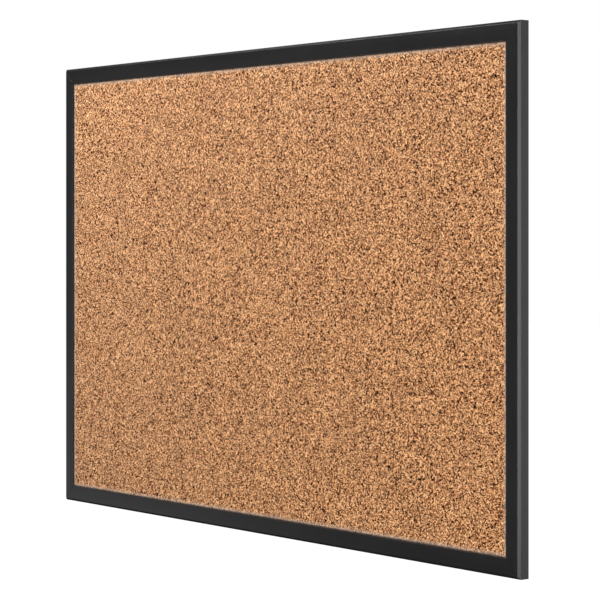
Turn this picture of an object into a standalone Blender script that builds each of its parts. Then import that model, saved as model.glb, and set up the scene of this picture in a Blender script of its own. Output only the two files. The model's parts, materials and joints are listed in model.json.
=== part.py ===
"""A wall-hung cork bulletin board in a mitred aluminium frame, as separate solids.

Axes: +X is the board's right as seen from the front, +Z is up, and the cork faces -Y.
The wall is the plane y = 0. The origin lies on it, midway between the seats of the two
keyholes, where the two wall screws carry the board.

The frame's cross-section is given by two distances: "inset", measured in from the
frame's outer edge, and "back", measured from the front plane towards the wall.
"""

import math

import bmesh
import bpy
from mathutils import Matrix, Vector

MM = 0.001

# ---- Overall size -------------------------------------------------------------------
BOARD_WIDTH = 914.4 * MM
BOARD_HEIGHT = 609.6 * MM

# ---- Gaps between pieces ------------------------------------------------------------
FIT_GAP = 0.3 * MM  # between flat faces that rest on or slide past each other
MITRE_GAP = 0.2 * MM  # between the cut ends of two rails
THREAD_GAP = 0.2 * MM  # round a screw in its hole
PANEL_EDGE_GAP = 0.5 * MM  # between the panel's edge and the bottom of its groove

# ---- Frame extrusion ----------------------------------------------------------------
FACE_WIDTH = 21.5 * MM
FACE_CROWN = 0.3 * MM  # how far the middle of the face stands ahead of its edges
CROWN_STEPS = 8
WALL = 1.4 * MM
EDGE_CHAMFER = 2.9 * MM
REAR_CHAMFER = 0.6 * MM
LIP_THICKNESS = 1.5 * MM
LIP_CHAMFER = 0.4 * MM
CHANNEL_WIDTH = 10.0 * MM  # the hardware channel and the hollow chamber ahead of it
CHANNEL_FLOOR = 1.2 * MM
SLOT_WIDTH = 6.4 * MM
PANEL_LIP_REACH = 5.2 * MM
PANEL_LIP_THICKNESS = 1.2 * MM
REAR_REBATE = 2.4 * MM  # from the panel lip to the frame's rear face

# ---- Panel --------------------------------------------------------------------------
CORK_THICKNESS = 2.4 * MM
CORK_NIP = 0.3 * MM  # how far the frame's lip presses the cork's border in
CORK_NIP_RUN = 0.8 * MM  # width of the slope between the border and the cork's face
CORK_NIP_MARGIN = 0.4 * MM  # border left showing inside the lip
CORE_THICKNESS = 6.2 * MM
BACKING_THICKNESS = 0.4 * MM
GLUE_LINE = 0.3 * MM

# ---- Corner hardware ----------------------------------------------------------------
ANGLE_LEG = 42.0 * MM  # from the frame's outer corner to the end of each leg
ANGLE_THICKNESS = 1.9 * MM
ANGLE_CORNER = 1.0 * MM
BACKING_ANGLE_THICKNESS = 0.8 * MM
SCREW_BITE = 0.5 * MM  # open height between the two angles
SET_SCREW_RADIUS = 2.0 * MM
SET_SCREW_LENGTH = 3.2 * MM
SET_SCREW_CHAMFER = 0.3 * MM
SET_SCREW_FROM_CORNER = 30.0 * MM
DRIVER_SLOT_WIDTH = 0.8 * MM
DRIVER_SLOT_DEPTH = 1.1 * MM

# ---- Hangers ------------------------------------------------------------------------
HANGER_SPACING = 406.4 * MM
HANGER_WIDTH = 30.0 * MM
HANGER_THICKNESS = 2.0 * MM
HANGER_CORNER = 4.0 * MM
HANGER_TOP_INSET = 1.2 * MM
SEAT_INSET = 24.0 * MM  # from the frame's top edge down to the keyhole's seat
SEAT_RADIUS = 2.4 * MM
ENTRY_RADIUS = 4.75 * MM
ENTRY_DROP = 10.0 * MM  # from the seat's centre down to the entry hole's centre
HANGER_FOOT = 9.0 * MM  # from the entry hole's centre down to the plate's lower edge
LUG_LENGTH = 3.0 * MM
LUG_OFFSET = 10.0 * MM  # from the clamp screw to the middle of each guide lug
LUG_DEPTH = 0.9 * MM  # how far a lug enters the slot
T_NUT_LENGTH = 14.0 * MM
T_NUT_THICKNESS = 2.4 * MM
T_NUT_CORNER = 1.0 * MM
CLAMP_SCREW_RADIUS = 2.0 * MM
CLAMP_HEAD_RADIUS = 3.8 * MM
CLAMP_HEAD_RIM = 0.25 * MM
CLAMP_HEAD_SINK = 0.1 * MM
HEX_SOCKET_RADIUS = 1.45 * MM  # to the corners of the hexagon
HEX_SOCKET_DEPTH = 1.2 * MM

# ---- Bumpers ------------------------------------------------------------------------
BUMPER_RADIUS = 5.5 * MM
BUMPER_EDGE = 0.8 * MM
BUMPER_STEM_LENGTH = 3.6 * MM  # from the head's seat on the frame into the slot
BUMPER_FROM_SIDE = 60.0 * MM

# ---- Facets -------------------------------------------------------------------------
ROUND_STEPS = 28
CORNER_STEPS = 5
OVERRUN = 1.0 * MM  # how far a cutter runs past the faces that it cuts

# ---- Sizes that follow from the ones above ------------------------------------------
CHANNEL_DEPTH = (
    FIT_GAP + BACKING_ANGLE_THICKNESS + SCREW_BITE + ANGLE_THICKNESS + FIT_GAP
)
CHANNEL_INNER = WALL + CHANNEL_WIDTH
WEB_INSET = CHANNEL_INNER + WALL  # bottom of the panel's groove
SLOT_CENTRE = WALL + CHANNEL_WIDTH / 2

CORK_BORDER_BACK = LIP_THICKNESS + FIT_GAP
CORK_REAR = CORK_BORDER_BACK - CORK_NIP + CORK_THICKNESS
CORE_FRONT = CORK_REAR + GLUE_LINE
BACKING_FRONT = CORE_FRONT + CORE_THICKNESS + GLUE_LINE
PANEL_REAR = BACKING_FRONT + BACKING_THICKNESS
PANEL_LIP_FRONT = PANEL_REAR + FIT_GAP
PANEL_LIP_REAR = PANEL_LIP_FRONT + PANEL_LIP_THICKNESS
FRAME_DEPTH = PANEL_LIP_REAR + REAR_REBATE

CHANNEL_ROOF_BACK = FRAME_DEPTH - WALL
CHANNEL_FLOOR_BACK = CHANNEL_ROOF_BACK - CHANNEL_DEPTH
CHAMBER_REAR = CHANNEL_FLOOR_BACK - CHANNEL_FLOOR

PANEL_INSET = WEB_INSET + PANEL_EDGE_GAP
PANEL_WIDTH = BOARD_WIDTH - 2 * PANEL_INSET
PANEL_HEIGHT = BOARD_HEIGHT - 2 * PANEL_INSET

STAND_OFF = FIT_GAP + HANGER_THICKNESS  # from the frame's rear face to the wall
BACKING_ANGLE_FRONT = CHANNEL_FLOOR_BACK + FIT_GAP
ANGLE_FRONT = CHANNEL_ROOF_BACK - FIT_GAP - ANGLE_THICKNESS
SET_SCREW_FRONT = BACKING_ANGLE_FRONT + BACKING_ANGLE_THICKNESS + FIT_GAP


# ---- Tools --------------------------------------------------------------------------
def clear_scene():
    for old in list(bpy.data.objects):
        bpy.data.objects.remove(old, do_unlink=True)


def finish(name, colour, roughness, metallic):
    """A Principled material with one base colour."""
    material = bpy.data.materials.new(name)
    material.use_nodes = True
    shader = material.node_tree.nodes["Principled BSDF"]
    shader.inputs["Base Color"].default_value = (*colour, 1.0)
    shader.inputs["Roughness"].default_value = roughness
    shader.inputs["Metallic"].default_value = metallic
    return material


def add_empty(name, location, parent=None):
    empty = bpy.data.objects.new(name, None)
    bpy.context.scene.collection.objects.link(empty)
    empty.parent = parent
    empty.location = location
    return empty


def add_piece(name, bm, material, parent, location=(0, 0, 0), turn=0.0):
    """Makes the mesh an object, turned about Y by the given degrees."""
    bmesh.ops.recalc_face_normals(bm, faces=bm.faces)
    mesh = bpy.data.meshes.new(name)
    bm.to_mesh(mesh)
    bm.free()
    mesh.materials.append(material)
    piece = bpy.data.objects.new(name, mesh)
    bpy.context.scene.collection.objects.link(piece)
    piece.parent = parent
    piece.location = location
    piece.rotation_euler = (0, math.radians(turn), 0)
    return piece


def shade_round(piece):
    piece.data.shade_smooth()
    piece.data.set_sharp_from_angle(angle=math.radians(35))


def combine(piece, tool, operation):
    """Cuts the tool from the piece, or joins it on, with a live Boolean."""
    tool.hide_render = True
    tool.display_type = "WIRE"
    modifier = piece.modifiers.new(tool.name, "BOOLEAN")
    modifier.operation = operation
    modifier.object = tool


def rounded(corners, radius):
    """The outline's corners replaced by arcs. Points are (x, z) pairs, in order."""
    outline = []
    for index, corner in enumerate(corners):
        here = Vector(corner)
        to_last = (Vector(corners[index - 1]) - here).normalized()
        to_next = (Vector(corners[(index + 1) % len(corners)]) - here).normalized()
        half_angle = to_last.angle(to_next) / 2
        centre = here + (to_last + to_next).normalized() * radius / math.sin(half_angle)
        reach = radius / math.tan(half_angle)
        start = (here + to_last * reach - centre).normalized()
        end = (here + to_next * reach - centre).normalized()
        for step in range(CORNER_STEPS + 1):
            spoke = start.slerp(end, step / CORNER_STEPS)
            outline.append(centre + spoke * radius)
    return outline


def arc(centre, radius, start, end, steps):
    """Points on a circle, from the start angle to the end angle, in degrees."""
    points = []
    for step in range(steps + 1):
        angle = math.radians(start + (end - start) * step / steps)
        x = centre[0] + radius * math.cos(angle)
        z = centre[1] + radius * math.sin(angle)
        points.append((x, z))
    return points


def prism(outline, front, rear):
    """A closed solid of an (x, z) outline, between two values of y."""
    bm = bmesh.new()
    face = bm.faces.new([bm.verts.new((x, front, z)) for x, z in outline])
    run = bmesh.ops.extrude_face_region(bm, geom=[face])
    moved = [item for item in run["geom"] if isinstance(item, bmesh.types.BMVert)]
    bmesh.ops.translate(bm, verts=moved, vec=(0, rear - front, 0))
    return bm


def turned(profile, centre=(0, 0), steps=ROUND_STEPS):
    """A solid of revolution about the Y direction through an (x, z) centre.

    The profile lists (radius, y) points, and its first and last lie on the axis.
    """
    bm = bmesh.new()
    verts = [bm.verts.new((radius, y, 0)) for radius, y in profile]
    edges = [bm.edges.new(pair) for pair in zip(verts, verts[1:])]
    bmesh.ops.spin(
        bm,
        geom=verts + edges,
        cent=(0, 0, 0),
        axis=(0, 1, 0),
        angle=math.tau,
        steps=steps,
    )
    bmesh.ops.remove_doubles(bm, verts=bm.verts, dist=0.001 * MM)
    bmesh.ops.translate(bm, verts=bm.verts, vec=(centre[0], 0, centre[1]))
    return bm


# ---- Frame --------------------------------------------------------------------------
def crown_points():
    """The face's shallow arch as (inset, back) points, from its outer to its inner edge."""
    outer, inner = EDGE_CHAMFER, FACE_WIDTH - LIP_CHAMFER
    points = []
    for step in range(CROWN_STEPS + 1):
        share = step / CROWN_STEPS
        rise = 1 - (2 * share - 1) ** 2
        points.append((outer + (inner - outer) * share, FACE_CROWN * (1 - rise)))
    return points


def frame_section():
    """Outline of the extrusion: face, panel groove, panel lip, slotted channel, side."""
    slot_outer = SLOT_CENTRE - SLOT_WIDTH / 2
    slot_inner = SLOT_CENTRE + SLOT_WIDTH / 2
    panel_lip_inset = WEB_INSET + PANEL_LIP_REACH
    return [
        (0, EDGE_CHAMFER + FACE_CROWN),
        *crown_points(),
        (FACE_WIDTH, FACE_CROWN + LIP_CHAMFER),
        (FACE_WIDTH, LIP_THICKNESS),
        (WEB_INSET, LIP_THICKNESS),
        (WEB_INSET, PANEL_LIP_FRONT),
        (panel_lip_inset, PANEL_LIP_FRONT),
        (panel_lip_inset, PANEL_LIP_REAR),
        (WEB_INSET, PANEL_LIP_REAR),
        (WEB_INSET, FRAME_DEPTH),
        (slot_inner, FRAME_DEPTH),
        (slot_inner, CHANNEL_ROOF_BACK),
        (CHANNEL_INNER, CHANNEL_ROOF_BACK),
        (CHANNEL_INNER, CHANNEL_FLOOR_BACK),
        (WALL, CHANNEL_FLOOR_BACK),
        (WALL, CHANNEL_ROOF_BACK),
        (slot_outer, CHANNEL_ROOF_BACK),
        (slot_outer, FRAME_DEPTH),
        (REAR_CHAMFER, FRAME_DEPTH),
        (0, FRAME_DEPTH - REAR_CHAMFER),
    ]


def chamber_section():
    """Outline of the hollow behind the face, with the outer chamfer's wall kept."""
    front = FACE_CROWN + WALL
    corner = EDGE_CHAMFER + WALL * math.tan(math.radians(22.5))
    return [
        (WALL, corner + FACE_CROWN),
        (corner, front),
        (CHANNEL_INNER, front),
        (CHANNEL_INNER, CHAMBER_REAR),
        (WALL, CHAMBER_REAR),
    ]


def add_rail(name, length, distance, turn, material, board):
    """One mitred length of extrusion, its outer edge at that distance from the centre."""
    bm = bmesh.new()
    rims = []
    for outline in (frame_section(), chamber_section()):
        verts = [bm.verts.new((0, back, -inset)) for inset, back in outline]
        rims += [bm.edges.new(pair) for pair in zip(verts, verts[1:] + verts[:1])]
    bmesh.ops.triangle_fill(bm, use_beauty=True, edges=rims)
    near_end = bm.faces[:] + bm.edges[:]
    run = bmesh.ops.extrude_face_region(bm, geom=near_end, use_keep_orig=True)
    far_end = {item for item in run["geom"] if isinstance(item, bmesh.types.BMVert)}
    for vert in bm.verts:
        inset = -vert.co.z
        half = length / 2 - inset - MITRE_GAP / math.sqrt(2)
        vert.co.x = half if vert in far_end else -half
    outward = Matrix.Rotation(math.radians(turn), 3, "Y") @ Vector((0, 0, distance))
    rail = add_piece(name, bm, material, board, outward, turn)
    shade_round(rail)


def add_frame(material, board):
    half_width, half_height = BOARD_WIDTH / 2, BOARD_HEIGHT / 2
    add_rail("top_rail", BOARD_WIDTH, half_height, 0, material, board)
    add_rail("right_stile", BOARD_HEIGHT, half_width, 90, material, board)
    add_rail("bottom_rail", BOARD_WIDTH, half_height, 180, material, board)
    add_rail("left_stile", BOARD_HEIGHT, half_width, 270, material, board)


# ---- Panel --------------------------------------------------------------------------
def panel_layer(front, rear):
    half_width, half_height = PANEL_WIDTH / 2, PANEL_HEIGHT / 2
    corners = [
        (-half_width, -half_height),
        (half_width, -half_height),
        (half_width, half_height),
        (-half_width, half_height),
    ]
    return prism(corners, front, rear)


def add_panel(cork, fibreboard, kraft, board):
    """Cork, core and backing. The cork's face stands ahead of its nipped border."""
    bm = panel_layer(CORK_BORDER_BACK, CORK_REAR)
    bm.normal_update()
    bmesh.ops.recalc_face_normals(bm, faces=bm.faces)
    face = min(bm.faces, key=lambda f: f.calc_center_median().y)
    border = FACE_WIDTH - PANEL_INSET + CORK_NIP_MARGIN
    for thickness, depth in ((border, 0), (CORK_NIP_RUN, CORK_NIP)):
        bmesh.ops.inset_individual(
            bm, faces=[face], thickness=thickness, depth=depth, use_even_offset=True
        )
    add_piece("cork_sheet", bm, cork, board)
    core = panel_layer(CORE_FRONT, CORE_FRONT + CORE_THICKNESS)
    add_piece("fibreboard_core", core, fibreboard, board)
    backing = panel_layer(BACKING_FRONT, PANEL_REAR)
    add_piece("kraft_backing", backing, kraft, board)


# ---- Corner hardware ----------------------------------------------------------------
def angle_plate(front, thickness):
    """An L-shaped plate for the top right corner, which is at the local origin."""
    near = WALL + FIT_GAP
    far = CHANNEL_INNER - FIT_GAP
    corners = [
        (-near, -near),
        (-near, -ANGLE_LEG),
        (-far, -ANGLE_LEG),
        (-far, -far),
        (-ANGLE_LEG, -far),
        (-ANGLE_LEG, -near),
    ]
    return prism(rounded(corners, ANGLE_CORNER), front, front + thickness)


def cylinder(radius, front, rear, centre=(0, 0)):
    return turned([(0, front), (radius, front), (radius, rear), (0, rear)], centre)


def add_set_screw(name, centre, along_x, steel, parent, location, turn):
    """A slotted set screw that bears on the backing angle through the threaded one."""
    front = SET_SCREW_FRONT
    rear = front + SET_SCREW_LENGTH
    chamfered = SET_SCREW_RADIUS - SET_SCREW_CHAMFER
    profile = [
        (0, front),
        (chamfered, front),
        (SET_SCREW_RADIUS, front + SET_SCREW_CHAMFER),
        (SET_SCREW_RADIUS, rear - SET_SCREW_CHAMFER),
        (chamfered, rear),
        (0, rear),
    ]
    screw = add_piece(name, turned(profile, centre), steel, parent, location, turn)
    long_half = SET_SCREW_RADIUS + OVERRUN
    short_half = DRIVER_SLOT_WIDTH / 2
    half_x, half_z = (long_half, short_half) if along_x else (short_half, long_half)
    corners = [
        (centre[0] - half_x, centre[1] - half_z),
        (centre[0] + half_x, centre[1] - half_z),
        (centre[0] + half_x, centre[1] + half_z),
        (centre[0] - half_x, centre[1] + half_z),
    ]
    slot = prism(corners, rear - DRIVER_SLOT_DEPTH, rear + OVERRUN)
    cutter = add_piece(name + "_slot", slot, steel, parent, location, turn)
    combine(screw, cutter, "DIFFERENCE")
    shade_round(screw)


def add_corner(name, side_x, side_z, turn, steel, board):
    """A threaded angle over a plain one, tightened by a set screw in each leg."""
    location = (side_x * BOARD_WIDTH / 2, 0, side_z * BOARD_HEIGHT / 2)
    plain = angle_plate(BACKING_ANGLE_FRONT, BACKING_ANGLE_THICKNESS)
    add_piece(name + "_backing_angle", plain, steel, board, location, turn)
    plate = angle_plate(ANGLE_FRONT, ANGLE_THICKNESS)
    angle = add_piece(name + "_corner_angle", plate, steel, board, location, turn)
    screw_centres = {
        "a": (-SET_SCREW_FROM_CORNER, -SLOT_CENTRE),
        "b": (-SLOT_CENTRE, -SET_SCREW_FROM_CORNER),
    }
    for letter, centre in screw_centres.items():
        hole = cylinder(
            SET_SCREW_RADIUS + THREAD_GAP,
            ANGLE_FRONT - OVERRUN / 2,
            ANGLE_FRONT + ANGLE_THICKNESS + OVERRUN / 2,
            centre,
        )
        hole_name = f"{name}_screw_hole_{letter}"
        cutter = add_piece(hole_name, hole, steel, board, location, turn)
        combine(angle, cutter, "DIFFERENCE")
        screw_name = f"{name}_set_screw_{letter}"
        across = letter == "b"
        add_set_screw(screw_name, centre, across, steel, board, location, turn)
    shade_round(angle)


def add_corners(steel, board):
    add_corner("top_right", 1, 1, 0, steel, board)
    add_corner("bottom_right", 1, -1, 90, steel, board)
    add_corner("bottom_left", -1, -1, 180, steel, board)
    add_corner("top_left", -1, 1, 270, steel, board)


# ---- Hangers ------------------------------------------------------------------------
# A hanger's own origin is on the slot's centre line, in the frame's rear plane.
SEAT_Z = SLOT_CENTRE - SEAT_INSET
ENTRY_Z = SEAT_Z - ENTRY_DROP


def hanger_outline():
    top = SLOT_CENTRE - HANGER_TOP_INSET
    bottom = ENTRY_Z - HANGER_FOOT
    half = HANGER_WIDTH / 2
    corners = [(-half, bottom), (half, bottom), (half, top), (-half, top)]
    return rounded(corners, HANGER_CORNER)


def keyhole_outline():
    """A round entry hole with a narrower slot that runs up to the round seat."""
    shoulder = math.degrees(math.acos(SEAT_RADIUS / ENTRY_RADIUS))
    entry = arc((0, ENTRY_Z), ENTRY_RADIUS, 180 - shoulder, 360 + shoulder, ROUND_STEPS)
    seat = arc((0, SEAT_Z), SEAT_RADIUS, 0, 180, ROUND_STEPS // 2)
    return entry + seat


def clamp_screw_profile(gap, front, rear):
    """(radius, y) points of the countersunk screw, made larger all round by the gap."""
    head_front = rear - CLAMP_HEAD_RIM - (CLAMP_HEAD_RADIUS - CLAMP_SCREW_RADIUS)
    return [
        (0, front),
        (CLAMP_SCREW_RADIUS + gap, front),
        (CLAMP_SCREW_RADIUS + gap, head_front),
        (CLAMP_HEAD_RADIUS + gap, rear - CLAMP_HEAD_RIM),
        (CLAMP_HEAD_RADIUS + gap, rear),
        (0, rear),
    ]


def add_hanger_plate(name, steel, hanger):
    """The keyhole plate, with two lugs that keep it square in the slot."""
    front, rear = FIT_GAP, FIT_GAP + HANGER_THICKNESS
    plate = add_piece(name, prism(hanger_outline(), front, rear), steel, hanger)
    half_height = SLOT_WIDTH / 2 - FIT_GAP
    for side, word in ((-1, "left"), (1, "right")):
        near = side * LUG_OFFSET - LUG_LENGTH / 2
        far = side * LUG_OFFSET + LUG_LENGTH / 2
        corners = [
            (near, -half_height),
            (far, -half_height),
            (far, half_height),
            (near, half_height),
        ]
        lug = prism(corners, -LUG_DEPTH, (front + rear) / 2)
        lug_piece = add_piece(f"{name}_{word}_lug", lug, steel, hanger)
        combine(plate, lug_piece, "UNION")
    keyhole = prism(keyhole_outline(), front - OVERRUN, rear + OVERRUN)
    keyhole_cutter = add_piece(name + "_keyhole", keyhole, steel, hanger)
    combine(plate, keyhole_cutter, "DIFFERENCE")
    sunk_rear = rear - CLAMP_HEAD_SINK
    profile = clamp_screw_profile(THREAD_GAP, front - OVERRUN, sunk_rear)
    opened = profile[:-2] + [
        (CLAMP_HEAD_RADIUS + THREAD_GAP, rear + OVERRUN),
        (0, rear + OVERRUN),
    ]
    sink_cutter = add_piece(name + "_countersink", turned(opened), steel, hanger)
    combine(plate, sink_cutter, "DIFFERENCE")
    shade_round(plate)


def add_t_nut(name, steel, hanger):
    """The captive nut that slides under the slot's two lips."""
    rear = -WALL - FIT_GAP
    front = rear - T_NUT_THICKNESS
    half_length = T_NUT_LENGTH / 2
    half_width = CHANNEL_WIDTH / 2 - FIT_GAP
    corners = [
        (-half_length, -half_width),
        (half_length, -half_width),
        (half_length, half_width),
        (-half_length, half_width),
    ]
    nut_body = prism(rounded(corners, T_NUT_CORNER), front, rear)
    nut = add_piece(name, nut_body, steel, hanger)
    bore = cylinder(CLAMP_SCREW_RADIUS + THREAD_GAP, front - OVERRUN, rear + OVERRUN)
    combine(nut, add_piece(name + "_bore", bore, steel, hanger), "DIFFERENCE")
    shade_round(nut)


def add_clamp_screw(name, steel, hanger):
    """The countersunk screw that clamps the plate to the nut, through the slot."""
    front = -WALL - FIT_GAP - T_NUT_THICKNESS
    rear = STAND_OFF - CLAMP_HEAD_SINK
    body = turned(clamp_screw_profile(0, front, rear))
    screw = add_piece(name, body, steel, hanger)
    hexagon = arc((0, 0), HEX_SOCKET_RADIUS, 0, 300, 5)
    socket = prism(hexagon, rear - HEX_SOCKET_DEPTH, rear + OVERRUN)
    combine(screw, add_piece(name + "_socket", socket, steel, hanger), "DIFFERENCE")
    shade_round(screw)


def add_hangers(steel):
    """Two hangers. Each is parented to an empty on the line that it slides along."""
    for side, word in ((-1, "left"), (1, "right")):
        location = (side * HANGER_SPACING / 2, -STAND_OFF, SEAT_INSET - SLOT_CENTRE)
        hanger = add_empty(word + "_hanger_slide", location)
        add_hanger_plate(word + "_hanger_plate", steel, hanger)
        add_t_nut(word + "_hanger_t_nut", steel, hanger)
        add_clamp_screw(word + "_hanger_clamp_screw", steel, hanger)


# ---- Bumpers ------------------------------------------------------------------------
def add_bumpers(rubber, board):
    """Rubber buttons that hold the lower edge as far off the wall as the hangers do.

    Each has a stem that is pressed into the bottom rail's slot.
    """
    front = FRAME_DEPTH + FIT_GAP
    rear = FRAME_DEPTH + STAND_OFF
    stem_radius = SLOT_WIDTH / 2 - FIT_GAP
    edge = arc((BUMPER_RADIUS - BUMPER_EDGE, rear - BUMPER_EDGE), BUMPER_EDGE, 0, 90, 4)
    profile = [
        (0, front - BUMPER_STEM_LENGTH),
        (stem_radius, front - BUMPER_STEM_LENGTH),
        (stem_radius, front),
        (BUMPER_RADIUS, front),
        *edge,
        (0, rear),
    ]
    for side, word in ((-1, "left"), (1, "right")):
        x = side * (BOARD_WIDTH / 2 - BUMPER_FROM_SIDE)
        z = SLOT_CENTRE - BOARD_HEIGHT / 2
        bumper = add_piece(f"{word}_bumper", turned(profile), rubber, board, (x, 0, z))
        shade_round(bumper)


# ---- The board ----------------------------------------------------------------------
def main():
    clear_scene()
    black_aluminium = finish("black_aluminium", (0.018, 0.017, 0.018), 0.38, 0.6)
    cork = finish("cork", (0.47, 0.24, 0.11), 0.85, 0.0)
    fibreboard = finish("fibreboard", (0.36, 0.24, 0.14), 0.9, 0.0)
    kraft = finish("kraft_paper", (0.42, 0.27, 0.15), 0.8, 0.0)
    steel = finish("zinc_plated_steel", (0.62, 0.63, 0.64), 0.35, 1.0)
    rubber = finish("bumper_rubber", (0.03, 0.03, 0.03), 0.75, 0.0)

    front_y = -(FRAME_DEPTH + STAND_OFF)
    centre_z = SEAT_INSET - BOARD_HEIGHT / 2
    board = add_empty("board_front_centre", (0, front_y, centre_z))
    add_frame(black_aluminium, board)
    add_panel(cork, fibreboard, kraft, board)
    add_corners(steel, board)
    add_hangers(steel)
    add_bumpers(rubber, board)


main()
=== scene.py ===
# %% [markdown]
# # A cork bulletin board
# A sheet of granulated cork, glued to fibreboard, sits in a mitred frame of satin black
# aluminium. The solids from the CAD model give every size and place. This script gives
# the board its looks: what each piece is made of, how its edges are finished, and the
# light that shows it.

# %% Load the fixed frame
import json
import math

import bpy
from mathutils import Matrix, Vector

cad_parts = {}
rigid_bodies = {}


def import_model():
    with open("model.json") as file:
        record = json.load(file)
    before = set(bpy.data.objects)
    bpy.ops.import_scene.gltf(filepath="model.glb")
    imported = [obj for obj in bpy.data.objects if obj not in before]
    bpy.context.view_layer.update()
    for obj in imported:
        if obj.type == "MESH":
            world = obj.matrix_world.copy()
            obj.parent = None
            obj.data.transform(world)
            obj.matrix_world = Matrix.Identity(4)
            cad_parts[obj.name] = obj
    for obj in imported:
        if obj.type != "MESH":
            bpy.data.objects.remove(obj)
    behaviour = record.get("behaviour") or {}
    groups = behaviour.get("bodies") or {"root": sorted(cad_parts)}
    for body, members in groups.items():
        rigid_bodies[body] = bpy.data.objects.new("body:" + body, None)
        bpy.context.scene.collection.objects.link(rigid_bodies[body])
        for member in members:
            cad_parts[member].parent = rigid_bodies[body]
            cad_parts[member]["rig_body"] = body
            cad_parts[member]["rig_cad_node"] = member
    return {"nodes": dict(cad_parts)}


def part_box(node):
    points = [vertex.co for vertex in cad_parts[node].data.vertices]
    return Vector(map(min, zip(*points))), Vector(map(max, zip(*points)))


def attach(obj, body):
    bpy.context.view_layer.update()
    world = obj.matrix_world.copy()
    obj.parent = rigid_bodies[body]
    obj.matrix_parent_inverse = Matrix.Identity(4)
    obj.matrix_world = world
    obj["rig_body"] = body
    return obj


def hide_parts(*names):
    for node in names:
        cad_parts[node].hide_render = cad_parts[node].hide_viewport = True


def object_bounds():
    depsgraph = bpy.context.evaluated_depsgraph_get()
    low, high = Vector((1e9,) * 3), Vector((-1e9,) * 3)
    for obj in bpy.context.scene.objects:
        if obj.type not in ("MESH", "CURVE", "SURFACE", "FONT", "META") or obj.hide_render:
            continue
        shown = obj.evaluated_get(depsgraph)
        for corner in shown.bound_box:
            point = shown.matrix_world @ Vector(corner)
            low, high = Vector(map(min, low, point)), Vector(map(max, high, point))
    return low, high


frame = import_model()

MM = 0.001
nodes = frame["nodes"]
cad_low, cad_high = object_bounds()
cad_size = [round(side / MM, 1) for side in cad_high - cad_low]
print("CAD box in mm:", cad_size, "with", len(nodes), "nodes")

# %% [markdown]
# ## The camera
# A board on a wall is seen from one side, at eye height, so its near edge looks taller
# than its far edge. A long lens from a few metres keeps that taper gentle. The camera
# is level, which keeps the upright edges upright, and the lens is shifted down to take
# in the lower half of the board. Tilting the camera would frame it as well, but the
# stiles would then lean.

# %% Place the camera
rail_low, rail_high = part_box("top_rail")
board_centre = (cad_low + cad_high) / 2

VIEW_ANGLE = math.radians(51.29)  # round from the board's front, towards its right end
NEAR_EDGE_DEPTH = 2.336  # along the line of sight, to the board's right front edge
NEAR_EDGE_OFFSET = 0.2382  # of that edge, to the right of the line of sight
EYE_BELOW_TOP = 0.234
LENS = 129.0
LENS_SHIFT = -0.1088

sideways = Vector((math.cos(VIEW_ANGLE), math.sin(VIEW_ANGLE), 0))
forwards = Vector((-math.sin(VIEW_ANGLE), math.cos(VIEW_ANGLE), 0))
near_edge = Vector((cad_high.x, rail_low.y, rail_high.z - EYE_BELOW_TOP))
eye = near_edge - sideways * NEAR_EDGE_OFFSET - forwards * NEAR_EDGE_DEPTH

bpy.ops.object.select_all(action="DESELECT")
bpy.ops.object.camera_add(location=eye, rotation=(math.pi / 2, 0, VIEW_ANGLE))
camera = bpy.context.object
camera.name = "camera"
camera.data.lens = LENS
camera.data.shift_y = LENS_SHIFT
bpy.context.scene.camera = camera
print("camera at", [round(value, 3) for value in eye])

# %% [markdown]
# ## Backdrop and floor
# The Standard view transform shows colours as they are set, which suits a plain
# catalogue picture. The world is white to the camera but dim to everything else, so
# that the backdrop is clean while the black frame has something dark to reflect. The
# floor lies well below the board, as it does under a wall, and glows as white as the
# backdrop, so that the two meet without a line.

# %% Set up the backdrop
scene = bpy.context.scene
scene.view_settings.view_transform = "Standard"

AMBIENT = 0.04
world = bpy.data.worlds.new("studio")
scene.world = world
world.use_nodes = True
sky = world.node_tree.nodes["Background"]
sky.inputs["Color"].default_value = (1, 1, 1, 1)
rays = world.node_tree.nodes.new("ShaderNodeLightPath")
brightness = world.node_tree.nodes.new("ShaderNodeMapRange")
brightness.inputs["To Min"].default_value = AMBIENT
brightness.inputs["To Max"].default_value = 1.0
world.node_tree.links.new(rays.outputs["Is Camera Ray"], brightness.inputs["Value"])
world.node_tree.links.new(brightness.outputs["Result"], sky.inputs["Strength"])
print("world: white to the camera,", AMBIENT, "to everything else")

# %% Lay the floor
FLOOR_DROP = 0.9
FLOOR_SIZE = 40.0
FLOOR_GLOW = 1.0
bpy.ops.mesh.primitive_plane_add(
    size=FLOOR_SIZE, location=(0, 0, cad_low.z - FLOOR_DROP)
)
floor = bpy.context.object
floor.name = "floor"
floor.visible_glossy = False
floor.visible_diffuse = False

pale = bpy.data.materials.new("pale_floor")
pale.use_nodes = True
pale_shader = pale.node_tree.nodes["Principled BSDF"]
pale_shader.inputs["Base Color"].default_value = (0.85, 0.85, 0.85, 1)
pale_shader.inputs["Roughness"].default_value = 0.9
pale_shader.inputs["Emission Color"].default_value = (1, 1, 1, 1)
pale_shader.inputs["Emission Strength"].default_value = FLOOR_GLOW
floor.data.materials.append(pale)
print("floor", FLOOR_DROP, "m below the board")

# %% [markdown]
# ## Light
# Black metal is seen by what it reflects, so most softboxes stand where one plane of the
# frame mirrors them to the camera. The near light meets the chamfer, the brightest
# plane, the right light meets the frame's end, and two faint ones at the left give the
# flat faces their gradients. The key light is small, close and high at the left, where
# nothing flat mirrors it, and its light fades across the cork from that corner. The
# front light fills the cork evenly, and two broad lights show the back.


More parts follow.
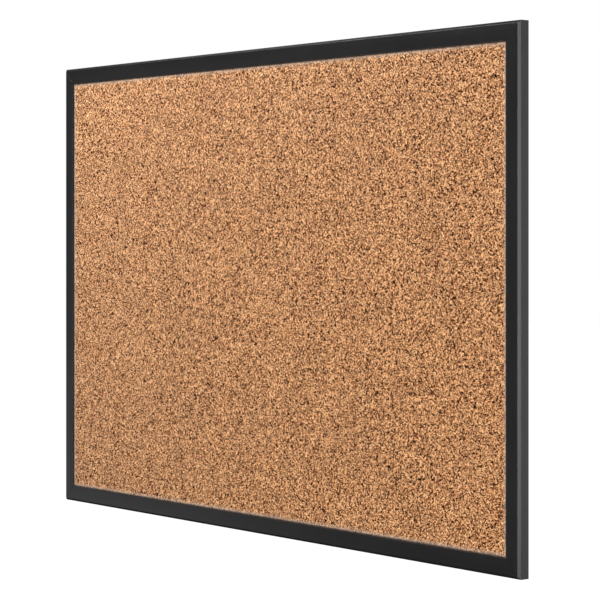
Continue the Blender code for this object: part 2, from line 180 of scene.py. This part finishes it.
# %% Add the softboxes
def softbox(name, azimuth, elevation, distance, width, height, watts):
    """An area light that faces the board. Azimuth 0 is straight ahead of the cork."""
    turn, rise = math.radians(azimuth), math.radians(elevation)
    away = Vector(
        (math.sin(turn) * math.cos(rise), -math.cos(turn) * math.cos(rise), math.sin(rise))
    )
    bpy.ops.object.light_add(
        type="AREA",
        location=board_centre + away * distance,
        rotation=away.to_track_quat("Z", "Y").to_euler(),
    )
    box = bpy.context.object
    box.name = name
    box.data.shape = "RECTANGLE"
    box.data.size = width
    box.data.size_y = height
    box.data.energy = watts
    box.visible_camera = False


SOFTBOXES = [
    ("key_light", -54, 50, 1.5, 0.6, 0.6, 21),
    ("front_light", 0, -10, 3.0, 1.6, 1.6, 38),
    ("near_light", 39, 0, 4.0, 0.9, 2.2, 104),
    ("right_light", 129, 0, 3.5, 1.6, 2.2, 15),
    ("left_strip_light", -54, 2, 3.5, 0.5, 0.9, 0.8),
    ("low_left_light", -63, -15, 3.0, 1.0, 1.0, 2.0),
    ("rear_light", 205, 35, 3.5, 3.4, 3.4, 70),
    ("low_rear_light", 160, -5, 3.5, 3.0, 2.0, 25),
]
for settings in SOFTBOXES:
    softbox(*settings)
print(len(SOFTBOXES), "softboxes")

# %% [markdown]
# ## How the materials are put together
# Every finish is a node graph that feeds one Principled shader. Patterns read Object
# coordinates. Each piece's object sits at the world's origin, so those coordinates are
# metres in the board's own frame, and a pattern's scale is simply how often it repeats
# in a metre. A few short helpers keep the graphs readable.


# %% Helpers that start a material and add its nodes
def start_material(name, roughness, metallic=0.0, specular=0.5):
    """A new material, its node tree, its shader and its Object coordinates."""
    material = bpy.data.materials.new(name)
    material.use_nodes = True
    tree = material.node_tree
    shader = tree.nodes["Principled BSDF"]
    shader.inputs["Roughness"].default_value = roughness
    shader.inputs["Metallic"].default_value = metallic
    shader.inputs["Specular IOR Level"].default_value = specular
    place = tree.nodes.new("ShaderNodeTexCoord").outputs["Object"]
    return material, tree, shader, place


def feed(tree, value, socket):
    """Links a socket to an input, or sets the input to a value."""
    if isinstance(value, bpy.types.NodeSocket):
        tree.links.new(value, socket)
    elif isinstance(value, tuple) and len(value) == 3 and socket.type == "RGBA":
        socket.default_value = (*value, 1)
    else:
        socket.default_value = value


def add_node(tree, kind, settings=None, **inputs):
    """A node with its settings and its inputs, which may be values or sockets."""
    node = tree.nodes.new("ShaderNode" + kind)
    for name, value in (settings or {}).items():
        setattr(node, name, value)
    for name, value in inputs.items():
        feed(tree, value, node.inputs[name.replace("_", " ")])
    return node


def calculate(tree, operation, *values):
    """The result of a Math node."""
    node = add_node(tree, "Math", {"operation": operation})
    for socket, value in zip(node.inputs, values):
        feed(tree, value, socket)
    return node.outputs[0]


print("shader and node helpers ready")

# %% [markdown]
# ## Patterns and colours
# Nearly every surface here is built the same way: soft noise is stretched to a useful
# range, turned into colours, and mixed with the next pattern. One pattern then serves
# twice, as colour and as height, because real marks are both.


# %% Helpers for patterns, colours and relief
def noise(tree, place, scale, detail=2.0, stretch=None):
    """Soft noise from 0 to 1, with this many repeats in a metre along each axis."""
    if stretch:
        mapped = add_node(tree, "Mapping", Vector=place, Scale=stretch)
        place = mapped.outputs["Vector"]
    node = add_node(tree, "TexNoise", Vector=place, Scale=scale, Detail=detail)
    return node.outputs["Fac"]


def spread(tree, value, low, high, to_low=0.0, to_high=1.0):
    """A value's range from low to high, stretched to another range and held there."""
    node = add_node(tree, "MapRange", Value=value, From_Min=low, From_Max=high)
    node.inputs["To Min"].default_value = to_low
    node.inputs["To Max"].default_value = to_high
    return node.outputs["Result"]


def ramp(tree, value, stops):
    """A colour ramp. Its stops are (position, colour) pairs, from low to high."""
    node = add_node(tree, "ValToRGB", Fac=value)
    points = node.color_ramp.elements
    while len(points) < len(stops):
        points.new(0.5)
    for point, (position, colour) in zip(points, stops):
        point.position = position
        point.color = (*colour, 1)
    return node.outputs["Color"]


def mix(tree, factor, first, second, blend="MIX"):
    """Two colours mixed by a factor. Each of the three may be a value or a socket."""
    node = add_node(tree, "Mix", {"data_type": "RGBA", "blend_type": blend})
    factor_socket, first_socket, second_socket = (node.inputs[i] for i in (0, 6, 7))
    feed(tree, factor, factor_socket)
    feed(tree, first, first_socket)
    feed(tree, second, second_socket)
    return node.outputs[2]


def emboss(tree, height, strength, depth):
    """The normal of a surface whose height follows this pattern, depth metres deep."""
    bump = add_node(tree, "Bump", Height=height, Strength=strength, Distance=depth)
    return bump.outputs["Normal"]


print("pattern helpers ready")

# %% [markdown]
# ## How a piece joins the frame
# Every visual piece stands for one CAD solid and moves with that solid's body, so the
# hangers still slide when they look like steel.


# %% Helpers that join, dress and modify a piece
def join_frame(piece, node):
    """Lets a piece stand for a CAD node and ride on that node's body."""
    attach(piece, nodes[node]["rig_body"])
    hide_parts(node)


def dress(piece, material):
    """Gives a piece this one material."""
    piece.data.materials.clear()
    piece.data.materials.append(material)


def apply_modifier(piece, kind, **settings):
    """Adds one modifier to the active piece and applies it."""
    modifier = piece.modifiers.new(kind.lower(), kind)
    for name, value in settings.items():
        setattr(modifier, name, value)
    bpy.ops.object.modifier_apply(modifier=modifier.name)


print("piece helpers ready")

# %% [markdown]
# ## Broken edges
# A CAD solid has knife-sharp edges. A real extrusion leaves its die with corners
# rounded by a fraction of a millimetre, and stamped steel is tumbled until its edges
# are smooth. Those thin roundings catch the light, and make metal look like metal. A
# Bevel node in the material would bend only the shading, so here each hard piece is a
# copy of its CAD solid. Its triangles are merged back into whole faces, a Bevel modifier
# cuts every sharp edge, and a Weighted Normal modifier keeps the flats flat.

# %% Copy a CAD solid and break its edges
FLAT = math.radians(0.4)  # faces that differ by less than this are one face
SHARP = math.radians(30)
WELD = 0.001 * MM


def solid_copy(node, name):
    """A copy of a CAD node's solid, with its triangles merged into whole faces."""
    piece = nodes[node].copy()
    piece.data = nodes[node].data.copy()
    piece.name = name
    piece.data.name = name
    bpy.context.scene.collection.objects.link(piece)
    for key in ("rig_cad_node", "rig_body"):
        del piece[key]
    bpy.ops.object.select_all(action="DESELECT")
    piece.select_set(True)
    bpy.context.view_layer.objects.active = piece
    bpy.ops.object.mode_set(mode="EDIT")
    bpy.ops.mesh.select_all(action="SELECT")
    bpy.ops.mesh.remove_doubles(threshold=WELD)
    bpy.ops.mesh.dissolve_limited(angle_limit=FLAT)
    bpy.ops.object.mode_set(mode="OBJECT")
    return piece


def break_edges(piece, edge, segments=2):
    """Rounds every sharp edge of the active piece to this width."""
    apply_modifier(piece, "BEVEL", width=edge, segments=segments, angle_limit=SHARP)
    bpy.ops.object.shade_smooth()
    apply_modifier(piece, "WEIGHTED_NORMAL")


def finished_copy(node, name, material, edge, segments=2):
    """A piece that stands for the CAD node, with its edges broken."""
    piece = solid_copy(node, name)
    break_edges(piece, edge, segments)
    join_frame(piece, node)
    dress(piece, material)
    return piece


print("edges sharper than", round(math.degrees(SHARP)), "degrees will be broken")

# %% [markdown]
# ## Satin black aluminium
# The extrusions are anodised and dyed black. The oxide is a hard, slightly rough skin
# that reflects like glass rather than like bare metal, so metallic stays at zero. The
# die leaves faint lines along each length, drawn here by noise that is stretched along
# the rail, the dye is never quite even, and handling leaves duller smudges.

# %% Make the black finish, for rails along X and for stiles along Z
DIE_LINES = 1400.0  # repeats in a metre, across the length
DIE_RUN = 3.0  # repeats in a metre, along it
BLACK = (0.0088, 0.0083, 0.0088)
WORN_BLACK = (0.0118, 0.0112, 0.0117)


def black_aluminium(name, stretch):
    material, tree, shader, place = start_material(name, 0.31, specular=0.42)
    lines = noise(tree, place, 1.0, 2.0, stretch)
    clouds = noise(tree, place, 9.0, 3.0)
    smudges = noise(tree, place, 34.0, 5.0)
    tone = mix(tree, spread(tree, clouds, 0.3, 0.7), BLACK, WORN_BLACK)
    lit = mix(tree, spread(tree, lines, 0.35, 0.75, 0.0, 0.25), tone, WORN_BLACK)
    tree.links.new(lit, shader.inputs["Base Color"])
    dulled = calculate(
        tree,
        "ADD",
        spread(tree, lines, 0.3, 0.7, 0.28, 0.33),
        spread(tree, smudges, 0.55, 0.8, 0.0, 0.08),
    )
    tree.links.new(dulled, shader.inputs["Roughness"])
    tree.links.new(emboss(tree, lines, 0.05, 0.05 * MM), shader.inputs["Normal"])
    return material


along_x = black_aluminium("black_aluminium_rail", (DIE_RUN, DIE_LINES, DIE_LINES))
along_z = black_aluminium("black_aluminium_stile", (DIE_LINES, DIE_LINES, DIE_RUN))
print("made", along_x.name, "and", along_z.name)

# %% [markdown]
# ## The rolled lip
# Where the frame meets the cork, its lip isn't cut square. The die rolls it over, so
# that it can't scuff a hand or a sheet of paper. The roll turns away from every light,
# and draws the thin dark line between black metal and brown cork. It is wider than the
# other broken edges, so it is bevelled first, on that one long edge.

# %% Finish the four sides of the frame
EXTRUSION_EDGE = 0.15 * MM
LIP_ROLL = 1.1 * MM
NEAR = 0.01 * MM
X, Z = 0, 2


def roll_lip(piece, axis, inner):
    """Rounds the long front edge that lies at this place along the axis."""
    bpy.ops.object.mode_set(mode="EDIT")
    bpy.ops.mesh.select_mode(type="VERT")
    bpy.ops.mesh.select_all(action="DESELECT")
    bpy.ops.object.mode_set(mode="OBJECT")
    rim = [v for v in piece.data.vertices if abs(v.co[axis] - inner) < NEAR]
    front = min(vertex.co.y for vertex in rim)
    for vertex in rim:
        vertex.select = vertex.co.y < front + NEAR
    bpy.ops.object.mode_set(mode="EDIT")
    bpy.ops.mesh.bevel(offset=LIP_ROLL, segments=4, affect="EDGES")
    bpy.ops.object.mode_set(mode="OBJECT")


SIDES = {
    "top_rail": (along_x, Z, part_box("top_rail")[0].z),
    "bottom_rail": (along_x, Z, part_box("bottom_rail")[1].z),
    "left_stile": (along_z, X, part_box("left_stile")[1].x),
    "right_stile": (along_z, X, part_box("right_stile")[0].x),
}
for node, (material, axis, inner) in SIDES.items():
    side = solid_copy(node, node + "_extrusion")
    roll_lip(side, axis, inner)
    break_edges(side, EXTRUSION_EDGE)
    join_frame(side, node)
    dress(side, material)
    print(side.name, len(side.data.polygons), "faces")

# %% [markdown]
# ## The cork sheet
# Granules of bark are pressed together with a binder, sliced and sanded. The face is
# flat to the eye but pitted to the touch, and the frame's lip pinches its border. The
# sheet starts as a fine grid over the face. Its rim is extruded outwards twice, for the
# slope and for the border under the lip, then backwards, and the back is closed.

# %% Measure the cork from the frame around it
cork_low, cork_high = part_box("cork_sheet")
stile_low, stile_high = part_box("left_stile")
lip = stile_high.x - stile_low.x  # the frame's face, from its outer to its inner edge

NIP = 0.3 * MM  # how deep the lip pinches the border
NIP_MARGIN = 0.4 * MM
NIP_RUN = 0.8 * MM
FACE_PITCH = 2.35 * MM

cork_centre = (cork_low + cork_high) / 2
border = Vector((cork_high.x - cork_low.x, 1, cork_high.z - cork_low.z))
opening = Vector((cad_high.x - cad_low.x - 2 * lip, 1, rail_high.z - cad_low.z - 2 * lip))
slope = opening - Vector((2 * NIP_MARGIN, 0, 2 * NIP_MARGIN))
face = slope - Vector((2 * NIP_RUN, 0, 2 * NIP_RUN))
print("cork face in mm:", round(face.x / MM, 1), "by", round(face.z / MM, 1))


# %% Helpers that model a thin sheet
def wall_grid(name, centre, size, pitch):
    """A grid that stands upright and faces forwards, with faces about pitch across."""
    bpy.ops.object.select_all(action="DESELECT")
    bpy.ops.mesh.primitive_grid_add(
        x_subdivisions=round(size.x / pitch),
        y_subdivisions=round(size.z / pitch),
        size=1,
        location=centre,
        rotation=(math.pi / 2, 0, 0),
    )
    grid = bpy.context.object
    grid.name = name
    grid.data.name = name
    grid.scale = (size.x, size.z, 1)
    bpy.ops.object.transform_apply(location=True, rotation=True, scale=True)
    relief = grid.vertex_groups.new(name="relief")
    relief.add(range(len(grid.data.vertices)), 1.0, "REPLACE")
    return grid


def close_back(rings, centre):
    """Extrudes the open rim of the active grid, ring by ring, and fills in the back."""
    bpy.ops.object.mode_set(mode="EDIT")
    bpy.ops.mesh.select_all(action="DESELECT")
    bpy.ops.mesh.select_mode(type="EDGE")
    bpy.ops.mesh.select_non_manifold()
    for growth, back in rings:
        bpy.ops.mesh.extrude_region_move(TRANSFORM_OT_translate={"value": (0, back, 0)})
        bpy.ops.transform.resize(value=growth, center_override=centre)
        bpy.ops.object.vertex_group_remove_from()
    bpy.ops.mesh.edge_face_add()
    bpy.ops.mesh.select_all(action="SELECT")
    bpy.ops.mesh.normals_make_consistent(inside=False)
    bpy.ops.object.mode_set(mode="OBJECT")


print("sheet helpers ready")

# %% Model the cork sheet
face_centre = Vector((cork_centre.x, cork_low.y, cork_centre.z))
cork = wall_grid("cork_face_sheet", face_centre, face, FACE_PITCH)
close_back(
    [
        ((slope.x / face.x, 1, slope.z / face.z), NIP),
        ((border.x / slope.x, 1, border.z / slope.z), 0),
        ((1, 1, 1), cork_high.y - cork_low.y - NIP),
    ],
    cork_centre,
)
print("cork sheet:", len(cork.data.polygons), "faces")

# %% [markdown]
# ## The cork's relief
# Pressing leaves long, shallow waves, and each granule stands a little higher or lower
# than the next. Two procedural textures push the face inwards by fractions of a
# millimetre. They act on the vertex group that holds the face alone, so the border
# stays flat under the lip, and they never push outwards past the sheet's own thickness.


# %% Press in the relief
def press(piece, name, kind, size, depth):
    """Sinks the piece's relief group by up to depth, in a pattern of this size."""
    pattern = bpy.data.textures.new(name, kind)
    pattern.noise_scale = size
    bpy.context.view_layer.objects.active = piece
    apply_modifier(
        piece,
        "DISPLACE",
        texture=pattern,
        texture_coords="LOCAL",
        vertex_group="relief",
        mid_level=0.0,
        strength=-depth,
    )


WAVE_LENGTH, WAVE_DEPTH = 45 * MM, 0.12 * MM
GRANULE, GRANULE_DEPTH = 5 * MM, 0.2 * MM
press(cork, "cork_waves", "CLOUDS", WAVE_LENGTH, WAVE_DEPTH)
press(cork, "cork_granules", "VORONOI", GRANULE, GRANULE_DEPTH)
bpy.ops.object.shade_smooth_by_angle(angle=SHARP)
join_frame(cork, "cork_sheet")
print("relief up to", round((WAVE_DEPTH + GRANULE_DEPTH) / MM, 2), "mm deep")

# %% [markdown]
# ## The cork's chips
# Each granule is a chip of bark with its own brown, from pale tan to dark, burnt crust.
# A Voronoi texture gives every cell one random value, which is just that. Straight cell
# walls would look like tiles, so the coordinates are first pushed about by noise. The
# chips are sieved only roughly, so two sizes are mixed by a third pattern.

# %% Colour the chips
cork_material, tree, shader, place = start_material("granulated_cork", 0.7, specular=1.0)
CHIP = 1 / (1.75 * MM)  # chips in a metre
CRUMB = 1 / (1.1 * MM)
CHIP_COLOURS = [
    (0.22, (0.020, 0.0032, 0.0003)),
    (0.29, (0.105, 0.023, 0.002)),
    (0.38, (0.250, 0.082, 0.016)),
    (0.55, (0.450, 0.178, 0.050)),
    (0.71, (0.800, 0.372, 0.128)),
    (1.00, (1.000, 0.590, 0.265)),
]

WOBBLE = 620.0  # repeats in a metre
WOBBLE_REACH = 1.3 * MM
SIEVE = 300.0  # repeats in a metre

wobble = add_node(tree, "TexNoise", Vector=place, Scale=WOBBLE, Detail=3.0)
shove = add_node(tree, "VectorMath", {"operation": "MULTIPLY_ADD"})
feed(tree, wobble.outputs["Color"], shove.inputs[0])
feed(tree, (WOBBLE_REACH,) * 3, shove.inputs[1])
feed(tree, place, shove.inputs[2])
shoved = shove.outputs["Vector"]


def random_cells(scale):
    """Irregular cells. Each has three random values, as Red, Green and Blue."""
    cells = add_node(tree, "TexVoronoi", Vector=shoved, Scale=scale)
    return add_node(tree, "SeparateColor", Color=cells.outputs["Color"]).outputs


chip_cells = random_cells(CHIP)
crumb_cells = random_cells(CRUMB)
crumbly = spread(tree, noise(tree, place, SIEVE), 0.47, 0.53)
chippy = calculate(tree, "SUBTRACT", 1.0, crumbly)
bark = calculate(
    tree,
    "ADD",
    calculate(tree, "MULTIPLY", chip_cells["Red"], chippy),
    calculate(tree, "MULTIPLY", crumb_cells["Red"], crumbly),
)
chips = ramp(tree, bark, CHIP_COLOURS)
print("chips", round(1 / CHIP / MM, 2), "mm and crumbs", round(1 / CRUMB / MM, 2), "mm")

# %% [markdown]
# ## The cork's binder, shade and border
# Binder fills the seams between chips and looks darker. A second Voronoi texture with
# the same cells gives the distance to the nearest seam. Batches of bark differ, so
# broad patches of the sheet are a touch lighter or darker. Along the frame the face is
# made paler and greyer in a narrow border. Right under the lip, a thin dark line is
# painted on the cork: partly dust, partly painted shade from the lip.

# %% Add the seams, the shade and the border
SEAM = (0.62, 0.50, 0.42)
# A paler, greyer tint for a narrow band of the cork along the frame.
BORDER_GREY = (0.46, 0.35, 0.27)
BORDER_WIDTH = 6 * MM
# The colour of a thin dark line painted under the lip: partly dust, partly painted shade.
LIP_DUST_AND_SHADE = (0.030, 0.018, 0.012)
LIP_DUST_AND_SHADE_WIDTH = 2.4 * MM

seams = {"feature": "DISTANCE_TO_EDGE"}
chip_walls = add_node(tree, "TexVoronoi", seams, Vector=shoved, Scale=CHIP)
chip_edge = chip_walls.outputs["Distance"]
seam = spread(tree, chip_edge, 0.0, 0.12, 0.75, 0.0)
seamed = mix(tree, seam, chips, SEAM, "MULTIPLY")
patches = spread(tree, noise(tree, place, 14.0, 4.0), 0.3, 0.7)
shade = mix(tree, patches, (0.93, 0.92, 0.90), (1.06, 1.06, 1.06))
shaded = mix(tree, 1.0, seamed, shade, "MULTIPLY")


def distance_inside(axis_value, centre, half):
    """How far a point lies inside two opposite edges, at centre plus or minus half."""
    offset = calculate(tree, "SUBTRACT", axis_value, centre)
    return calculate(tree, "SUBTRACT", half, calculate(tree, "ABSOLUTE", offset))


axes = add_node(tree, "SeparateXYZ", Vector=place)
from_edge = calculate(
    tree,
    "MINIMUM",
    distance_inside(axes.outputs["X"], cork_centre.x, opening.x / 2),
    distance_inside(axes.outputs["Z"], cork_centre.z, opening.z / 2),
)
# The cork turns paler and greyer within this width of the frame's opening.
greyed = spread(tree, from_edge, 0.4 * BORDER_WIDTH, BORDER_WIDTH, 0.5, 0.0)
border_greyed = mix(tree, greyed, shaded, BORDER_GREY)
# The painted dark line under the lip, partly dust and partly painted shade of the lip.
lip_dust_and_shade = spread(tree, from_edge, 0.2 * LIP_DUST_AND_SHADE_WIDTH, LIP_DUST_AND_SHADE_WIDTH, 1.0, 0.0)
bordered = mix(tree, lip_dust_and_shade, border_greyed, LIP_DUST_AND_SHADE)
tree.links.new(bordered, shader.inputs["Base Color"])
print("rubbed border", round(BORDER_WIDTH / MM), "mm wide")

# %% [markdown]
# ## The cork's gloss and fine relief
# Cork is waxy. The cut faces of pale chips shine softly at a low angle, while dark
# crust and seams don't. Sanding also leaves a fine fuzz of torn cells, which a sheen
# lobe stands for: it pales the cork only where both light and eye skim the surface. The
# chip pattern that gives the colour drives the bump too, so that a seam is always a
# groove and a chip always has its own level.

# %% Finish the cork
FUZZ = 0.75
FUZZ_ROUGHNESS = 0.38
GRAIN_DEPTH = 0.35 * MM
gloss = spread(tree, chip_edge, 0.0, 0.15, 0.85, 0.55)
tree.links.new(gloss, shader.inputs["Roughness"])
wax = spread(tree, bark, 0.2, 0.8, 0.04, 1.0)
tree.links.new(wax, shader.inputs["Specular IOR Level"])
fuzz = spread(tree, bark, 0.25, 0.7, 0.0, FUZZ)
tree.links.new(fuzz, shader.inputs["Sheen Weight"])
shader.inputs["Sheen Roughness"].default_value = FUZZ_ROUGHNESS
levels = calculate(tree, "MULTIPLY", chip_cells["Green"], 0.5)
grooves = spread(tree, chip_edge, 0.0, 0.12, 0.0, 0.5)
height = calculate(tree, "ADD", levels, grooves)
tree.links.new(emboss(tree, height, 0.55, GRAIN_DEPTH), shader.inputs["Normal"])
dress(cork, cork_material)
dress(nodes["cork_sheet"], cork_material)
print(cork_material.name, "has", len(tree.nodes), "nodes")

# %% [markdown]
# ## The fibreboard core
# The core is wood fibre, felted and pressed. It can be seen only when the board comes
# apart, but it has a real surface all the same: fine, tangled fibre with a few darker
# slivers of bark. It is a plain slab, so the CAD solid stays and gets its material.

# %% Make the fibreboard
fibre_material, tree, shader, place = start_material("pressed_fibreboard", 0.9)
felt = noise(tree, place, 700.0, 6.0)
slivers = noise(tree, place, 1.0, 3.0, (220.0, 220.0, 900.0))
FELT_COLOURS = [
    (0.30, (0.22, 0.135, 0.072)),
    (0.55, (0.34, 0.222, 0.128)),
    (0.80, (0.48, 0.340, 0.210)),
]
dark_slivers = spread(tree, slivers, 0.66, 0.72, 0.0, 0.6)
felted = mix(tree, dark_slivers, ramp(tree, felt, FELT_COLOURS), (0.12, 0.065, 0.032))
tree.links.new(felted, shader.inputs["Base Color"])
tree.links.new(spread(tree, felt, 0.3, 0.7, 0.82, 0.95), shader.inputs["Roughness"])
tree.links.new(emboss(tree, felt, 0.4, 0.2 * MM), shader.inputs["Normal"])
dress(nodes["fibreboard_core"], fibre_material)
print(fibre_material.name, "has", len(tree.nodes), "nodes")

# %% [markdown]
# ## The kraft paper backing
# Brown paper is glued over the back of the core to keep damp out. Paper takes up damp
# before its glue dries, so it never lies quite flat, and its fibres run mostly one way.
# The sheet is made as the cork was: a grid with shallow swells, closed at the back.

# %% Model the paper
PAPER_PITCH = 7 * MM
SWELL_LENGTH = 70 * MM
SWELL_DEPTH = 0.22 * MM
kraft_low, kraft_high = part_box("kraft_backing")
kraft_centre = (kraft_low + kraft_high) / 2
kraft_size = kraft_high - kraft_low
kraft_rear = Vector((kraft_centre.x, kraft_high.y, kraft_centre.z))
kraft = wall_grid("kraft_backing_paper", kraft_rear, kraft_size, PAPER_PITCH)
close_back([((1, 1, 1), -kraft_size.y)], kraft_centre)
press(kraft, "paper_swells", "CLOUDS", SWELL_LENGTH, SWELL_DEPTH)
bpy.ops.object.shade_smooth_by_angle(angle=SHARP)
join_frame(kraft, "kraft_backing")
print("kraft paper:", len(kraft.data.polygons), "faces")

# %% Make the kraft paper
kraft_material, tree, shader, place = start_material("kraft_paper", 0.85)
fibres = noise(tree, place, 1.0, 4.0, (260.0, 260.0, 1500.0))
mottle = noise(tree, place, 40.0, 5.0)
flecks = noise(tree, place, 420.0, 2.0)
PAPER_COLOURS = [
    (0.30, (0.33, 0.205, 0.112)),
    (0.50, (0.41, 0.265, 0.150)),
    (0.75, (0.50, 0.340, 0.205)),
]
paper = ramp(tree, fibres, PAPER_COLOURS)
stains = spread(tree, mottle, 0.3, 0.7, 0.0, 0.35)
mottled = mix(tree, stains, paper, (0.33, 0.2, 0.108))
dark_flecks = spread(tree, flecks, 0.7, 0.74, 0.0, 0.5)
flecked = mix(tree, dark_flecks, mottled, (0.16, 0.09, 0.045))
tree.links.new(flecked, shader.inputs["Base Color"])
tree.links.new(spread(tree, mottle, 0.3, 0.7, 0.78, 0.92), shader.inputs["Roughness"])
tree.links.new(emboss(tree, fibres, 0.25, 0.1 * MM), shader.inputs["Normal"])
dress(kraft, kraft_material)
dress(nodes["kraft_backing"], kraft_material)
print(kraft_material.name, "has", len(tree.nodes), "nodes")

# %% [markdown]
# ## Zinc-plated steel
# The corner angles, screws, hangers and nuts are stamped or turned steel with a thin,
# bright zinc plating. Zinc is a metal, so metallic is one and the colour is its
# reflection. Barrel plating leaves it satin, with cloudy patches and fine, random
# rubs from the other pieces in the barrel.

# %% Make the zinc plating
zinc_material, tree, shader, place = start_material("zinc_plating", 0.35, 1.0)
clouds = noise(tree, place, 130.0, 4.0)
rubs = noise(tree, place, 1.0, 3.0, (2600.0, 2600.0, 320.0))
plated = mix(tree, spread(tree, clouds, 0.3, 0.7), (0.52, 0.53, 0.55), (0.7, 0.7, 0.69))
tree.links.new(plated, shader.inputs["Base Color"])
satin = calculate(
    tree,
    "ADD",
    spread(tree, clouds, 0.3, 0.7, 0.26, 0.4),
    spread(tree, rubs, 0.5, 0.75, 0.0, 0.12),
)
tree.links.new(satin, shader.inputs["Roughness"])
tree.links.new(emboss(tree, rubs, 0.12, 0.05 * MM), shader.inputs["Normal"])
print(zinc_material.name, "has", len(tree.nodes), "nodes")

# %% Finish the corner hardware and the hangers
EDGE_OF = {
    "backing_angle": 0.12 * MM,
    "corner_angle": 0.2 * MM,
    "set_screw_a": 0.08 * MM,
    "set_screw_b": 0.08 * MM,
    "hanger_plate": 0.25 * MM,
    "hanger_t_nut": 0.2 * MM,
    "hanger_clamp_screw": 0.1 * MM,
}

steel_nodes = []
for ending, edge in EDGE_OF.items():
    for node in sorted(nodes):
        if node.endswith(ending):
            finished_copy(node, node + "_plated", zinc_material, edge)
            steel_nodes.append(node)
print(len(steel_nodes), "pieces of plated steel")

# %% [markdown]
# ## The rubber bumpers
# Two moulded buttons hold the lower edge off the wall. Moulded rubber is never quite
# black: a grey bloom comes to its surface, and it picks up dust.

# %% Make the rubber
rubber_material, tree, shader, place = start_material("bumper_rubber", 0.75)
bloom = noise(tree, place, 300.0, 5.0)
dust = noise(tree, place, 2500.0, 2.0)
black_rubber = mix(
    tree, spread(tree, bloom, 0.3, 0.7), (0.018, 0.018, 0.019), (0.04, 0.039, 0.038)
)
dusty_rubber = mix(
    tree, spread(tree, dust, 0.62, 0.7, 0.0, 0.4), black_rubber, (0.12, 0.115, 0.105)
)
tree.links.new(dusty_rubber, shader.inputs["Base Color"])
tree.links.new(spread(tree, bloom, 0.3, 0.7, 0.62, 0.85), shader.inputs["Roughness"])
tree.links.new(emboss(tree, dust, 0.15, 0.05 * MM), shader.inputs["Normal"])
print(rubber_material.name, "has", len(tree.nodes), "nodes")

# %% Finish the bumpers
BUMPERS = ("left_bumper", "right_bumper")
BUMPER_EDGE = 0.25 * MM

for node in BUMPERS:
    button = node + "_button"
    finished_copy(node, button, rubber_material, BUMPER_EDGE, 3)
print(len(BUMPERS), "rubber bumpers")

# %% [markdown]
# ## Dress the hidden solids
# The CAD solids that have a finished copy are hidden, but they keep a proper finish,
# so that nothing looks unfinished if one is shown again.

# %% Give each remaining CAD solid its finish
for node, (material, *_) in SIDES.items():
    dress(nodes[node], material)
for node in steel_nodes:
    dress(nodes[node], zinc_material)
for node in BUMPERS:
    dress(nodes[node], rubber_material)
print(len(SIDES) + len(steel_nodes) + len(BUMPERS), "hidden solids dressed")
